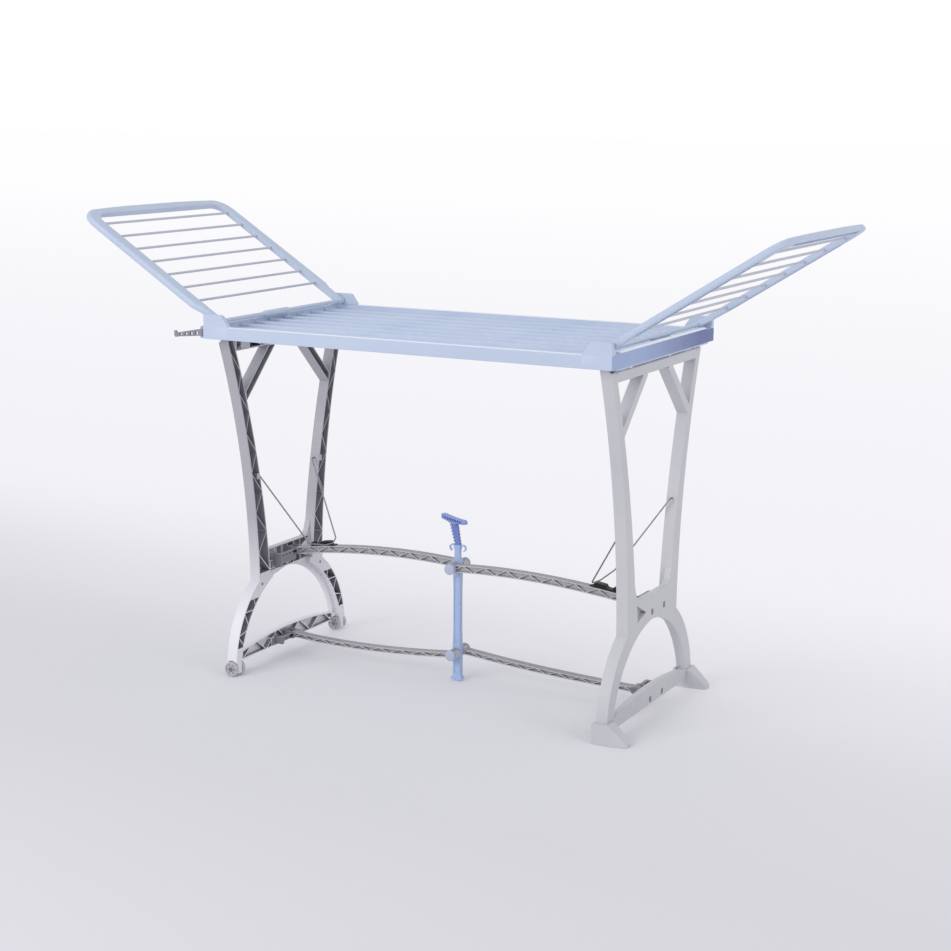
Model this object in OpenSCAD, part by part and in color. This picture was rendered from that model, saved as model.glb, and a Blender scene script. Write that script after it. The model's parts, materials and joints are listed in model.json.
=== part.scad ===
/* [Tray] */
// Length of the tray over its end rails
tray_len = 1154; // [1100:1:1200]
// Width of the tray over its long rails
tray_wid = 635; // [610:1:660]
// Height of the tray's top edge above the floor
tray_top = 950; // [930:1:980]
// Height of the tray's rails
rail_h = 33; // [28:1:38]
// Thickness of the tray's rails
rail_t = 13; // [10:1:15]
// Number of long slats in the tray
slat_count = 8; // [6:1:9]
// Width of a slat
slat_w = 8; // [6:1:10]
// Height of a slat
slat_h = 13; // [10:1:15]

/* [Wings] */
// Length of a wing from its hinge to its outer edge
wing_len = 506; // [440:1:530]
// Angle of the raised wings above level
wing_tilt = 32; // [20:1:40]
// Width of a wing's side rails, seen from above
wing_rail_w = 37; // [30:1:40]
// Height of a wing's side rails
wing_rail_h = 17; // [15:1:20]
// Number of rods in a wing
rod_count = 7; // [5:1:8]
// Width of a wing rod
rod_w = 5; // [5:1:8]
// Height of a wing rod
rod_h = 6; // [6:1:10]
// Radius of a wing's outer corners
wing_corner_r = 56; // [42:1:64]
// Radius of the pins that the wings turn on
wing_pin_r = 4; // [3:0.5:5]

/* [Legs] */
// Thickness of a leg frame along the rack's length
leg_t = 30; // [28:1:32]
// Distance from the middle of the rack to a leg frame's inner face
leg_x = 529; // [520:1:532]
// Wall of the moulded leg channels
wall = 3; // [2.5:0.1:3.5]
// Thickness of the lattice ribs inside the leg channels
rib = 2.4; // [2:0.1:3]
// Radius of the two wheels at the foot of each left post
wheel_r = 20; // [18:0.5:21]
// Thickness of a wheel disc
wheel_t = 11; // [9:0.5:12]
// Half the distance between front and rear wheels
wheel_y = 254; // [252:1:256]

/* [Stretchers and post] */
// Height that a stretcher climbs from its leg to the middle post
arm_rise = 22; // [16:1:26]
// Height of the upper stretchers' middle pins above the floor
hub_top_z = 315; // [312:1:318]
// Height of the lower stretchers' middle pins above the floor
hub_low_z = 78; // [77:1:81]
// Height of an upper stretcher bar
arm_h = 20; // [18:1:21]
// Height of a lower stretcher bar
low_arm_h = 14; // [13:1:16]
// Width of a stretcher bar
arm_w = 22; // [18:1:23]
// How far an upper stretcher bows above a straight line
arm_bow = 15; // [8:1:17]
// How far a lower stretcher bows below a straight line
low_bow = 9; // [5:1:12]
// Radius of the stretchers' middle pins
hub_pin_r = 5; // [4:0.5:6]
// Width of the middle post along the rack
post_w = 22; // [18:1:26]
// Depth of the middle post across the rack
post_d = 16; // [14:1:18]
// Height of the top of the grip above the floor
grip_top = 454; // [450:1:470]
// Length of the grip
grip_len = 114; // [100:1:124]

/* [Wire stays and hanger arm] */
// Diameter of the wire of the stays
wire_d = 4; // [3:0.5:5]
// Height of the stays' pivots in the posts
stay_z = 530; // [520:1:540]
// Length of the coat hanger arm
hanger_len = 90; // [80:1:120]

/* [Hidden] */
$fn = 48;

// clearances
fit = 0.05;          // running fit of a pin in its bore, on the radius
gap = 0.4;           // between faces that pass or seat on each other

blue = [0.72, 0.79, 0.91];
deep_blue = [0.50, 0.64, 0.90];
grey = [0.78, 0.78, 0.80];
dark_grey = [0.55, 0.55, 0.57];
black = [0.10, 0.10, 0.11];
steel = [0.62, 0.63, 0.65];
clear = [0.85, 0.86, 0.88];

// levels and places worked out from the driving sizes
tray_bot = tray_top - rail_h;
leg_top = tray_bot - 5;
half_len = tray_len / 2;
half_wid = tray_wid / 2;

// leg frame outline: two long arcs bound each post, three arcs bound the feet
seam_z = 240;
foot_r = wheel_y + 16;
foot_z = 19;
arch_r = foot_r + 11;
arch_off = 31;
arch_z = -14;
foot_in = sqrt(pow(arch_r, 2) - pow(seam_z - arch_z, 2)) - arch_off;
// the outer face keeps a wider lip along the arch
lip_r = foot_r - 11.6;
lip_off = 20;
lip_z = -8.6;
lip_t = 13;
// the web and the foot rail are set back from the leg's inner face
set_back = 14;
seat_x = leg_x + set_back;
web_top = 315;
foot_rail_half = foot_r - 26;
foot_rail_r = 1325;
left_rail_z = [34, 77];
right_rail_z = [26, 73];
foot_pocket_z = 75;
top_rail_h = 33;
top_rail_z = leg_top - top_rail_h;
brace_w = 22;
brace_low = [204, leg_top - 161];
brace_high = [72, leg_top - 29];
leg_tip_z = 7;
pocket_x = leg_t - wall;

function arc_y(y0, r, zc, z) = y0 + (z - zc) * (z - zc) / (2 * r);
function post_out(z) = arc_y(155.5, 1950, 215.5, z);
function post_in(z) = arc_y(95.7, 2330, 54, z);

// seam joint
tongue_y0 = 135;
tongue_y1 = 151;
tongue_x = 7;
tongue_d = 22;
screw_y = (tongue_y0 + tongue_y1) / 2;
screw_z = seam_z - 11;
screw_r = 2;
screw_head_r = 4;
screw_len = 17;

// snap windows that hold the stretcher brackets
web_win_z = 268;
left_win_z = 47;
right_win_z = 38;
bracket_y = 35;
win_pitch = 76;
win_w = 14;
win_h = 15;
win_boss = 5;

// stretchers
leg_pin_x = leg_x - 14;
leg_pin_r = 4;
leg_eye_r = 9.5;
top_eye_y = 17;      // an upper stretcher's eye at the left leg, across the rack
low_eye_y = -7;
eye_half = 12;
ear_t = 4.6;
plate_t = 4;
hub_y = 24;
hub_eye_r = 14;
cap_r = 14.5;
cap_t = 7;
top_pin_z = hub_top_z - arm_rise;
low_pin_z = hub_low_z - arm_rise;
web_w = 6;
flange = 3;

// a stretcher's middle line, from its leg at t = 0 to the post at t = 1
function run_x(t) = -leg_pin_x * (1 - t);
function run_y(t, y0, y1) = y1 + (y0 - y1) * pow(1 - max(0, t - 0.03), 4);
function run_z(t, z0, bow) = z0 + arm_rise * t + 4 * bow * t * (1 - t);

// wings
hinge_x = half_len - 29;
hinge_z = tray_top + wing_rail_h / 2 + 2;
block_t = rail_t + 1;
wing_neck = half_wid - block_t - 3.5;   // half width of a wing between the corner blocks
wing_half = half_wid - 3;
wing_in = wing_half - wing_rail_w;
neck_s = 44;
rod_first = 90;
end_bar_w = 25;
rod_pitch = (wing_len - end_bar_w - rod_first - 36) / (rod_count - 1);
tenon_r = 2.2;
tenon_len = 6;
lip_half = wing_in - 9;
lip_h = 6;

// corner blocks, higher than the rails and sloped down to them inboard
block_len = 60;
block_h = 30;
block_slope = 18;

// tray
seat_gap = 0.5;
seat_w = 34;
seat_half = 150;
apron_half = 284;    // half the length of the strip that closes the gap under an end rail
cross_x = 185;
slat_pitch = (tray_wid - 91) / slat_count;

// hinge between the tray and the left leg frame
lug_x = leg_x + leg_t / 2;
lug_z = leg_top - 18;
lug_r = 9;
lug_y = 200;
lug_w = 26;
lug_pin_r = 4;
lug_cheek = 7;

// wheels
axle_r = 4;
axle_x = leg_x + leg_t / 2 + 1;
wheel_off = 15;
neck_w = 2 * wheel_off - wheel_t - 1.4;
well_r = wheel_r + 3;

// wire stays, from the posts down to the upper stretchers
wire_r = wire_d / 2;
stay_x = leg_x + leg_t / 2;
stay_y = post_in(stay_z) - 14;
stay_t = 0.22;       // where the stay lies on a stretcher
stay_foot_x = -run_x(stay_t);
stay_foot_z = run_z(stay_t, top_pin_z, arm_bow) + arm_h / 2 + wire_r + 5;

// coat hanger arm
hang_x = -(half_len + 9);
hang_y = -(half_wid - 10);
hang_r = 6;
hang_pin_r = 2.5;
hang_lug = 4;

// helpers ---------------------------------------------------------------

// a flat bar between two points of a drawing
module bar2d(p, q, w) {
  translate(p) rotate(atan2(q[1] - p[1], q[0] - p[0]))
    translate([0, -w / 2]) square([norm(q - p), w]);
}

// a drawing with y across and z up, made solid from x0 to x1
module slab_x(x0, x1) {
  translate([x0, 0, 0]) rotate([90, 0, 90]) linear_extrude(x1 - x0) children();
}

// a drawing with x along and z up, made solid from y0 to y1
module slab_y(y0, y1) {
  translate([0, y1, 0]) rotate([90, 0, 0]) linear_extrude(y1 - y0) children();
}

module rod_x(x0, x1, y, z, r) {
  translate([x0, y, z]) rotate([0, 90, 0]) cylinder(h = x1 - x0, r = r);
}

module rod_y(x, y0, y1, z, r) {
  translate([x, y0, z]) rotate([-90, 0, 0]) cylinder(h = y1 - y0, r = r);
}

// a straight round bar between two points
module wire(p, q) {
  d = q - p;
  translate(p) rotate([0, acos(d[2] / norm(d)), atan2(d[1], d[0])])
    cylinder(h = norm(d), r = wire_r, $fn = 24);
}

module both_y() {
  children();
  mirror([0, 1, 0]) children();
}

module both_2d() {
  children();
  mirror([1, 0]) children();
}

// the same piece turned half round the rack's upright middle line
module turned() {
  rotate([0, 0, 180]) children();
}

// leg frames ------------------------------------------------------------

module post_shape(inset, z0, z1) {
  n = 12;
  polygon(concat(
    [for (i = [0:n]) let (z = z0 + (z1 - z0) * i / n) [post_out(z) - inset, z]],
    [for (i = [0:n]) let (z = z1 - (z1 - z0) * i / n) [post_in(z) + inset, z]]
  ));
}

module brace_shape(inset) {
  bar2d(brace_low, brace_high, brace_w - 2 * inset);
}

module arch_hole(grow) {
  intersection() {
    translate([-arch_off, arch_z]) circle(r = arch_r + grow, $fn = 160);
    translate([arch_off, arch_z]) circle(r = arch_r + grow, $fn = 160);
  }
}

module lip_hole(grow) {
  intersection() {
    translate([-lip_off, lip_z]) circle(r = lip_r + grow, $fn = 160);
    translate([lip_off, lip_z]) circle(r = lip_r + grow, $fn = 160);
  }
}

// the two posts with their braces and the rail on top, and a shoulder above each foot
module upper_outline() {
  both_2d() {
    post_shape(0, seam_z, leg_top);
    intersection() {
      brace_shape(0);
      translate([0, seam_z]) square([post_out(brace_low[1]) - 8, leg_top - seam_z]);
    }
    translate([-1, top_rail_z]) square([post_in(top_rail_z) + 6, top_rail_h]);
    polygon([[foot_in, seam_z], [post_in(seam_z) + 2, seam_z], [post_in(seam_z) + 2, seam_z + 36]]);
  }
}

// the web between the posts, its top swept up at the ends
module web_outline() {
  difference() {
    both_2d() {
      translate([-1, seam_z]) square([post_in(web_top) + 4, web_top - seam_z]);
      for (k = [0:2]) polygon([[post_in(web_top) - 36 + 12 * k, web_top - 1],
        [post_in(web_top) + 4, web_top - 1], [post_in(web_top) + 4, web_top + 8 + 4 * k * (k + 2)]]);
    }
    lip_hole(0);
  }
}

// dark triangular recess in the web's outer skin
module web_mark(grow) {
  polygon([[-post_in(web_top) + 10 - grow, web_top - 9 + grow],
    [-post_in(web_top) + 68 + 1.5 * grow, web_win_z + 8],
    [-post_in(web_top) + 16 - grow, web_win_z - 7 - grow]]);
}

// slanting lattice ribs inside a post
module post_ribs(z0, z1, n) {
  step = (z1 - z0) / n;
  for (i = [0:n - 1]) {
    z = z0 + i * step;
    flip = i % 2 == 0;
    bar2d([flip ? post_in(z) : post_out(z), z],
      [flip ? post_out(z + step) : post_in(z + step), z + step], rib);
  }
}

module win_bosses(z) {
  for (k = [-1, 1])
    translate([bracket_y + k * win_pitch / 2 - win_w / 2 - win_boss, z - win_h / 2 - win_boss])
      square([win_w + 2 * win_boss, win_h + 2 * win_boss]);
}

module upper_pocket() {
  both_2d() {
    difference() {
      post_shape(wall, seam_z + 20, leg_top - wall);
      post_ribs(seam_z + 20, top_rail_z, 11);
      translate([post_in(stay_z) - 5, stay_z - 8]) square([19, 16]);
    }
    difference() {
      translate([rib / 2, top_rail_z + wall])
        square([post_in(top_rail_z) - wall - rib / 2, top_rail_h - 2 * wall]);
      for (i = [0:3])
        bar2d([i * 60, top_rail_z + (i % 2 == 0 ? 0 : top_rail_h)],
          [i * 60 + 60, top_rail_z + (i % 2 == 0 ? top_rail_h : 0)], rib);
      translate([lug_y - lug_w / 2 - lug_cheek, top_rail_z])
        square([lug_w + 2 * lug_cheek, top_rail_h]);
    }
    intersection() {
      brace_shape(wall);
      polygon([[brace_high[0] - 30, top_rail_z - rib], [post_in(brace_low[1] - 40) - 4, 0],
        [post_in(brace_low[1]) - 2, brace_low[1]], [post_in(brace_low[1] + 90) - 12,
        top_rail_z - rib]]);
    }
  }
}

module web_pocket() {
  difference() {
    both_2d() difference() {
      translate([rib / 2, seam_z + 12])
        square([post_in(web_top) - 6 - rib / 2, web_top - seam_z - 12 - wall]);
      lip_hole(wall);
      for (y = [30, 62])
        translate([y - rib / 2, seam_z]) square([rib, web_top - seam_z]);
    }
    win_bosses(web_win_z);
    web_mark(wall);
  }
}

module windows(z) {
  for (k = [-1, 1])
    translate([leg_x - 1, bracket_y + k * win_pitch / 2 - win_w / 2, z - win_h / 2])
      cube([leg_t + 2, win_w, win_h]);
}

module tongue(c) {
  translate([leg_x + tongue_x - c, tongue_y0 - c, seam_z - tongue_d - c])
    cube([leg_t - 2 * tongue_x + 2 * c, tongue_y1 - tongue_y0 + 2 * c, tongue_d + 1 + 2 * c]);
}

module screw_holes() {
  both_y() {
    rod_x(leg_x - 1, leg_x + 2.4 + screw_len + 1, screw_y, screw_z, screw_r + 0.3);
    rod_x(leg_x - 1, leg_x + 2.4, screw_y, screw_z, screw_head_r + 0.3);
  }
}

module upper_frame(hinged) {
  difference() {
    union() {
      slab_x(leg_x, leg_x + leg_t) upper_outline();
      slab_x(seat_x, leg_x + leg_t) web_outline();
    }
    slab_x(leg_x - 1, leg_x + pocket_x) upper_pocket();
    slab_x(leg_x - 1, leg_x + pocket_x) web_pocket();
    windows(web_win_z);
    slab_x(seat_x + wall, leg_x + leg_t + 1) web_mark(0);
    // top outer edge sloped off, so that the tray's seats can swing past
    slab_y(-half_wid, half_wid) polygon([[lug_x + 3, leg_top], [lug_x + 3, leg_top + 1],
      [leg_x + leg_t + 1, leg_top + 1], [leg_x + leg_t + 1, leg_top - 10],
      [leg_x + leg_t, leg_top - 10]]);
    both_y() rod_y(stay_x, post_in(stay_z) - 6, post_in(stay_z) + 9, stay_z, wire_r + 0.1);
    if (hinged) both_y() {
      translate([leg_x + 4, lug_y - lug_w / 2 - gap, lug_z - lug_r - 1.5])
        cube([leg_t, lug_w + 2 * gap, lug_r + 21]);
      rod_y(lug_x, lug_y - lug_w / 2 - 5, lug_y + lug_w / 2 + 5, lug_z, lug_pin_r + fit);
    }
  }
  both_y() difference() {
    tongue(0);
    translate([leg_x, tongue_y0 - 1, seam_z + 0.5]) cube([leg_t, 40, 10]);
    rod_x(leg_x - 1, leg_x + 2.4 + screw_len + 1, screw_y, screw_z, screw_r + 0.3);
  }
}

// the space outside the arch, within the feet's outer arc
module foot_outline(grow) {
  both_2d() intersection() {
    difference() {
      translate([0, foot_z]) circle(r = foot_r + grow, $fn = 160);
      children();
    }
    translate([20, leg_tip_z - grow]) square([foot_r, seam_z - leg_tip_z + grow]);
  }
}

// a foot rail between the heights z[0] and z[1], lower towards its ends
module foot_rail_outline(z, grow) {
  intersection() {
    translate([0, z[1] - foot_rail_r]) circle(r = foot_rail_r + grow, $fn = 360);
    translate([-foot_rail_half, z[0] - grow]) square([2 * foot_rail_half, 70]);
  }
}

module feet() {
  slab_x(leg_x, leg_x + leg_t) foot_outline(0) arch_hole(0);
  slab_x(leg_x + leg_t - lip_t, leg_x + leg_t) foot_outline(0) lip_hole(0);
}

module foot_pocket() {
  both_2d() difference() {
    intersection() {
      difference() {
        translate([0, foot_z]) circle(r = foot_r - wall, $fn = 160);
        arch_hole(wall);
      }
      translate([80, foot_pocket_z]) square([200, seam_z - tongue_d - 22 - foot_pocket_z]);
    }
    for (k = [0:5]) {
      a = 12 + 7 * k;
      r0 = k % 2 == 0 ? foot_r - 40 : foot_r + 2;
      r1 = k % 2 == 0 ? foot_r + 2 : foot_r - 40;
      bar2d([r0 * cos(a), foot_z + r0 * sin(a)], [r1 * cos(a + 7), foot_z + r1 * sin(a + 7)], rib);
    }
  }
}

module rail_pocket(z, win_z) {
  difference() {
    intersection() {
      foot_rail_outline(z, -wall);
      square([2 * foot_rail_half - 48, 4 * z[1]], center = true);
    }
    for (i = [-4:3])
      bar2d([i * 55, z[abs(i) % 2]], [i * 55 + 55, z[1 - abs(i) % 2]], rib);
    win_bosses(win_z);
  }
}

module wheel_wells() {
  rod_y(axle_x, wheel_y - 40, wheel_y - neck_w / 2, wheel_r, well_r);
  rod_y(axle_x, wheel_y + neck_w / 2, wheel_y + 40, wheel_r, well_r);
  rod_y(axle_x, wheel_y - 30, wheel_y + 30, wheel_r, axle_r + fit);
}

module lower_frame(wheeled) {
  z = wheeled ? left_rail_z : right_rail_z;
  win_z = wheeled ? left_win_z : right_win_z;
  difference() {
    union() {
      feet();
      slab_x(seat_x, leg_x + leg_t) foot_rail_outline(z, 0);
      if (wheeled) both_y()
        translate([leg_x, wheel_y - neck_w / 2, leg_tip_z])
          cube([leg_t, neck_w, 40]);
    }
    slab_x(leg_x - 1, leg_x + pocket_x) foot_pocket();
    slab_x(leg_x - 1, leg_x + pocket_x) rail_pocket(z, win_z);
    windows(win_z);
    both_y() tongue(gap);
    screw_holes();
    if (wheeled) both_y() wheel_wells();
  }
}

module frame_screws() {
  both_y() {
    rod_x(leg_x + 2, leg_x + 2.4 + screw_len, screw_y, screw_z, screw_r);
    difference() {
      rod_x(leg_x + 0.2, leg_x + 2.2, screw_y, screw_z, screw_head_r);
      translate([leg_x - 1, screw_y - 3, screw_z - 0.6]) cube([2, 6, 1.2]);
    }
  }
}

// sloping shoe over a foot of the right leg frame
module shoe() {
  shoe_in = leg_x - 7;
  shoe_end = leg_x + 84;
  difference() {
    intersection() {
      slab_y(220, 290) polygon([[shoe_in, 0], [shoe_end, 0], [shoe_end, 9], [shoe_end - 3, 12],
        [leg_x + leg_t + 6, 52], [shoe_in + 3, 52], [shoe_in, 49]]);
      linear_extrude(60) polygon([[shoe_in, 237], [leg_x + leg_t + 4, 237], [shoe_end - 5, 245],
        [shoe_end, 249], [shoe_end, 268], [shoe_end - 5, 272], [leg_x + leg_t + 4, 279],
        [shoe_in, 279]]);
    }
    slab_x(leg_x - 0.3, leg_x + leg_t + 0.3) {
      foot_outline(0.3) arch_hole(-0.3);
      foot_rail_outline(right_rail_z, 0.3);
    }
    translate([leg_x + leg_t - lip_t - 0.3, foot_rail_half - 16, leg_tip_z - 0.3])
      cube([lip_t + 0.6, 24, 60]);
  }
}

module axle() {
  rod_y(axle_x, wheel_y - wheel_off - wheel_t / 2 - 1, wheel_y + wheel_off + wheel_t / 2 + 1,
    wheel_r, axle_r);
  for (k = [-1, 1])
    translate([axle_x, wheel_y + k * (wheel_off + wheel_t / 2 + 1) - 0.8, wheel_r])
      rotate([-90, 0, 0]) cylinder(h = 1.6, r = 6);
}

module twin_wheels() {
  for (k = [-1, 1]) translate([axle_x, wheel_y + k * wheel_off, wheel_r]) rotate([90, 0, 0])
    difference() {
      rotate_extrude($fn = 72) polygon([[axle_r + fit, -wheel_t / 2], [9, -wheel_t / 2],
        [9, -wheel_t / 2 + 2], [wheel_r - 4, -wheel_t / 2 + 2], [wheel_r - 4, -wheel_t / 2],
        [wheel_r - 1.5, -wheel_t / 2], [wheel_r, -wheel_t / 2 + 1.5], [wheel_r, wheel_t / 2 - 1.5],
        [wheel_r - 1.5, wheel_t / 2], [wheel_r - 4, wheel_t / 2], [wheel_r - 4, wheel_t / 2 - 2],
        [9, wheel_t / 2 - 2], [9, wheel_t / 2], [axle_r + fit, wheel_t / 2]]);
      for (a = [0:60:300]) rotate(a) translate([12.5, 0, -wheel_t])
        cylinder(h = 2 * wheel_t, r = 1.8, $fn = 24);
    }
}

// bracket that snaps into a leg's windows and holds a stretcher's eye at eye_y
module bracket(pin_z, win_z, eye_y) {
  half = eye_half + gap + ear_t;
  y0 = min(eye_y - half - 3, bracket_y - win_pitch / 2 - 9);
  y1 = bracket_y + win_pitch / 2 + 9;
  plate_x = seat_x - plate_t;
  bar_x = leg_pin_x - 1;
  difference() {
    union() {
      translate([plate_x, y0, win_z - 9]) cube([plate_t, y1 - y0, 18]);
      translate([plate_x, eye_y - half - 3, win_z - 9])
        cube([plate_t, 2 * half + 6, pin_z - win_z + 20]);
      // stiff bar from the outer ear, and back to the plate beside the far window
      translate([bar_x, eye_y + half - 1, pin_z - 6]) cube([9, y1 - eye_y - half - 8, 12]);
      translate([bar_x, y1 - 17, min(win_z - 5, pin_z - 6)])
        cube([plate_x + 1 - bar_x, 8, pin_z + 6 - min(win_z - 5, pin_z - 6)]);
      for (k = [-1, 1])
        translate([plate_x, bracket_y + k * win_pitch / 2 - win_w / 2 + gap,
          win_z - win_h / 2 + gap]) cube([plate_t + 7, win_w - 2 * gap, win_h - 2 * gap]);
      for (k = [0, 1]) translate([0, eye_y - half + k * (2 * half - ear_t), 0])
        slab_y(0, ear_t) {
          translate([leg_pin_x, pin_z]) circle(r = leg_eye_r);
          polygon([[leg_pin_x - 6, pin_z - 7.3], [plate_x + 1, pin_z - 16],
            [plate_x + 1, pin_z + 10], [leg_pin_x, pin_z + leg_eye_r - 0.1]]);
        }
    }
    rod_y(leg_pin_x, eye_y - 30, eye_y + 30, pin_z, leg_pin_r + fit);
    // finger slots in the bar
    for (y = [eye_y + half + 10:16:y1 - 22])
      translate([bar_x - 5, y, pin_z - 2.5]) cube([8, 9, 5]);
  }
}

module bracket_pin(pin_z, eye_y) {
  half = eye_half + gap + ear_t;
  rod_y(leg_pin_x, eye_y - half - 0.5, eye_y + half - 1.4, pin_z, leg_pin_r);
  rod_y(leg_pin_x, eye_y - half - 1.9, eye_y - half - 0.3, pin_z, leg_pin_r + 1.6);
}

// stretchers, drawn for the left side -----------------------------------

module arm_side(z0, bow, low, high) {
  n = 24;
  polygon(concat(
    [for (i = [0:n]) [run_x(i / n), run_z(i / n, z0, bow) + high]],
    [for (i = [0:n]) let (t = 1 - i / n) [run_x(t), run_z(t, z0, bow) + low]]
  ));
}

module arm_plan(y0, y1, w) {
  n = 24;
  linear_extrude(900) polygon(concat(
    [for (i = [0:n]) [run_x(i / n), run_y(i / n, y0, y1) + w / 2]],
    [for (i = [0:n]) let (t = 1 - i / n) [run_x(t), run_y(t, y0, y1) - w / 2]]
  ));
}

module arm_ribs(z0, bow, h) {
  n = 16;
  for (i = [0:n - 1]) {
    a = i / n;
    b = (i + 1) / n;
    s = i % 2 == 0 ? 1 : -1;
    bar2d([run_x(a), run_z(a, z0, bow) - s * (h / 2 - 1)],
      [run_x(b), run_z(b, z0, bow) + s * (h / 2 - 1)], rib);
  }
}

// y0 and y1 are the middles of the eyes at the leg and at the post
module arm(z0, bow, h, y0, y1) {
  difference() {
    union() {
      intersection() {
        slab_y(-60, 60) difference() {
          arm_side(z0, bow, -h / 2, h / 2);
          difference() {
            arm_side(z0, bow, -h / 2 + flange, h / 2 - flange);
            arm_ribs(z0, bow, h);
          }
        }
        arm_plan(y0, y1, arm_w);
      }
      intersection() {
        slab_y(-60, 60) arm_side(z0, bow, -h / 2 + 1, h / 2 - 1);
        arm_plan(y0, y1, web_w);
      }
      rod_y(-leg_pin_x, y0 - eye_half, y0 + eye_half, z0, leg_eye_r);
      rod_y(0, y1 - eye_half, y1 + eye_half, z0 + arm_rise, hub_eye_r);
    }
    rod_y(-leg_pin_x, y0 - 20, y0 + 20, z0, leg_pin_r + fit);
    rod_y(0, y1 - 20, y1 + 20, z0 + arm_rise, hub_pin_r + fit);
    // clear of the bracket's plate
    translate([-leg_pin_x - 40, y0 - 40, z0 - 40]) cube([40 - leg_eye_r, 80, 80]);
  }
}

module top_arm() {
  arm(top_pin_z, arm_bow, arm_h, top_eye_y, hub_y);
}

module low_arm() {
  arm(low_pin_z, -low_bow, low_arm_h, low_eye_y, -hub_y);
}

// black hook clip that rides on an upper stretcher
module clip() {
  t0 = 0.088;
  t1 = stay_t - 0.013;
  t2 = stay_t + 0.012;
  n = 6;
  function top(t) = run_z(t, top_pin_z, arm_bow) + arm_h / 2;
  ts = [for (i = [0:n]) t0 + (t1 - t0) * i / n];
  intersection() {
    slab_y(-60, 60) polygon(concat(
      [for (t = ts) [run_x(t), top(t) + 0.3]],
      // hook end, cupped under the wire stay
      [[run_x(t2), top(t2) + 0.4], [run_x(t2), top(t2) + 2],
        [run_x(stay_t) - 7, top(stay_t) + 2.5], [run_x(stay_t) - 8.5, top(stay_t) + 7],
        [run_x(stay_t) - 7.5, top(stay_t) + 10.5], [run_x(t1) - 9, top(t1) + 12]],
      [[run_x(ts[3]), top(ts[3]) + 12], [run_x(ts[3]) - 3, top(ts[3]) + 6],
        [run_x(ts[2]), top(ts[2]) + 5], [run_x(ts[1]) - 1, top(ts[1]) + 5],
        [run_x(ts[1]) - 3, top(ts[1]) + 12], [run_x(t0), top(t0) + 11]]
    ));
    arm_plan(top_eye_y, hub_y, 20);
  }
}

// wire stay of the right leg frame
module stay() {
  e0 = [stay_x, -stay_y, stay_z];
  e1 = [stay_x, stay_y, stay_z];
  b0 = [stay_foot_x + 8, -42, stay_foot_z + 9];
  b1 = [stay_foot_x + 18, 74, stay_foot_z + 15];
  f0 = [stay_foot_x, -14, stay_foot_z];
  f1 = [stay_foot_x + 5, 14, stay_foot_z];
  wire(e0, b0);
  wire(b0, f0);
  wire(f0, f1);
  wire(f1, b1);
  wire(b1, e1);
  for (p = [b0, f0, f1, b1]) translate(p) sphere(r = wire_r + 0.1, $fn = 24);
  for (s = [-1, 1]) translate([stay_x, s * stay_y, stay_z]) sphere(r = wire_r + 0.1, $fn = 24);
  rod_y(stay_x, -post_in(stay_z) - 7, -stay_y + 1, stay_z, wire_r);
  rod_y(stay_x, stay_y - 1, post_in(stay_z) + 7, stay_z, wire_r);
}

// middle post -----------------------------------------------------------

post_top = hub_top_z + 57;
module middle_post() {
  w = post_w / 2;
  t = post_w / 2 - 3.5;
  difference() {
    union() {
      slab_y(-post_d / 2, post_d / 2) polygon([
        [-w, 14], [-w - 4, 11], [-w - 5, 7], [-w - 3, 3], [-w + 2, 1],
        [w - 2, 1], [w + 3, 3], [w + 5, 7], [w + 4, 11], [w, 14],
        [w, hub_low_z + 20], [w - 1.5, hub_low_z + 60], [w - 1.5, hub_top_z - 60],
        [w, hub_top_z - 20], [w, hub_top_z + 16], [t, hub_top_z + 22],
        [-t, hub_top_z + 22], [-w, hub_top_z + 16],
        [-w, hub_top_z - 20], [-w + 1.5, hub_top_z - 60], [-w + 1.5, hub_low_z + 60],
        [-w, hub_low_z + 20]]);
      translate([-t, -post_d / 2 + 2, hub_top_z + 20]) cube([2 * t, post_d - 4, 36]);
      translate([-t - 1.5, -post_d / 2 + 0.5, post_top - 10]) cube([2 * t + 3, post_d - 1, 10]);
      for (z = [hub_low_z, hub_top_z])
        rod_y(0, -hub_y + eye_half + gap, hub_y - eye_half - gap, z, 10);
    }
    for (z = [hub_low_z, hub_top_z]) rod_y(0, -20, 20, z, hub_pin_r + fit);
    // shallow panels down the front and back
    for (s = [-1, 1]) translate([-w + 5, s * (post_d / 2) - 2, hub_low_z + 26])
      cube([post_w - 10, 4, hub_top_z - hub_low_z - 52]);
    for (s = [-1, 1]) translate([-w + 5, s * (post_d / 2) - 2, 20])
      cube([post_w - 10, 4, hub_low_z - 40]);
  }
}

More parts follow.
